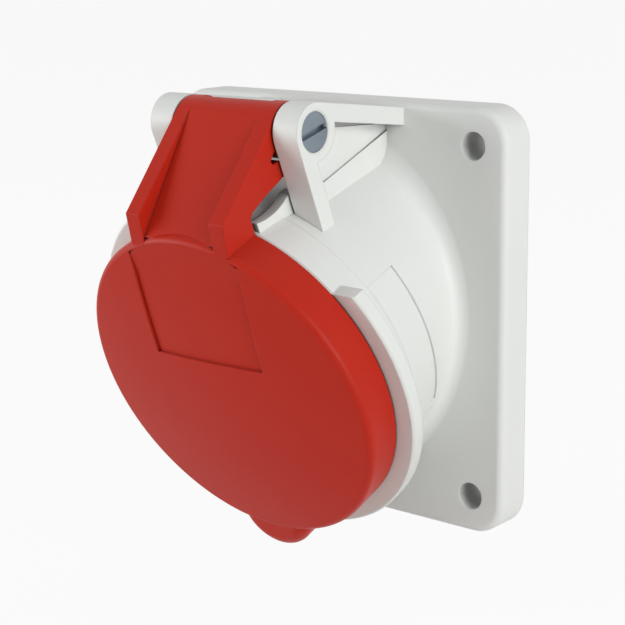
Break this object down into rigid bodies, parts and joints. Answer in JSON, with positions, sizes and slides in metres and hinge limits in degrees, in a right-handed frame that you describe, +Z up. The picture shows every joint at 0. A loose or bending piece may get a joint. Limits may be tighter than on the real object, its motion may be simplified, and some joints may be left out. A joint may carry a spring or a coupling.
{
  "type": "inclined panel socket",
  "caption": "Flange-mounted power socket with a round body that leans down, recessed contact sleeves and a sprung hinged lid that seals its collar.",
  "frame": {"origin": "centre of the flange's back face, in the middle of the four fixing holes", "axes": "+Y into the panel, square to the flange's back face; +Z up towards the hinge; the lid faces -Y and leans down"},
  "size_m": [0.085, 0.0728, 0.0926],
  "materials": {
    "housing_plastic": "fine moulded grey-white polyamide",
    "lid_plastic": "fine moulded red polyamide",
    "gasket_rubber": "moulded black rubber",
    "pin_steel": "turned and zinc plated steel",
    "spring_steel": "drawn stainless steel wire and strip",
    "screw_steel": "zinc plated steel",
    "contact_brass": "turned brass",
    "insert_plastic": "moulded dark grey polyamide"
  },
  "bodies": {
    "housing": {"housing": "housing_plastic", "hinge_pin": "pin_steel", "hinge_spring": "spring_steel", "flange_gasket": "gasket_rubber", "contact_carrier": "insert_plastic", "terminal_block": "insert_plastic", "block_screw": "screw_steel", "terminal_screws": "screw_steel", "contact_pe": "contact_brass", "contact_n": "contact_brass", "contact_l1": "contact_brass", "contact_l2": "contact_brass", "contact_l3": "contact_brass", "sleeve_spring_pe": "spring_steel", "sleeve_spring_n": "spring_steel", "sleeve_spring_l1": "spring_steel", "sleeve_spring_l2": "spring_steel", "sleeve_spring_l3": "spring_steel"},
    "lid": {"lid": "lid_plastic", "lid_gasket": "gasket_rubber"}
  },
  "joints": [
    {"name": "lid_hinge", "type": "hinge", "parent": "housing", "child": "lid", "pos_m": [0, -0.03498, 0.03922], "axis": [-1, 0, 0], "range_deg": [0, 100], "stiffness_Nm_per_rad": 0.08, "springref_deg": -68.75}
  ]
}
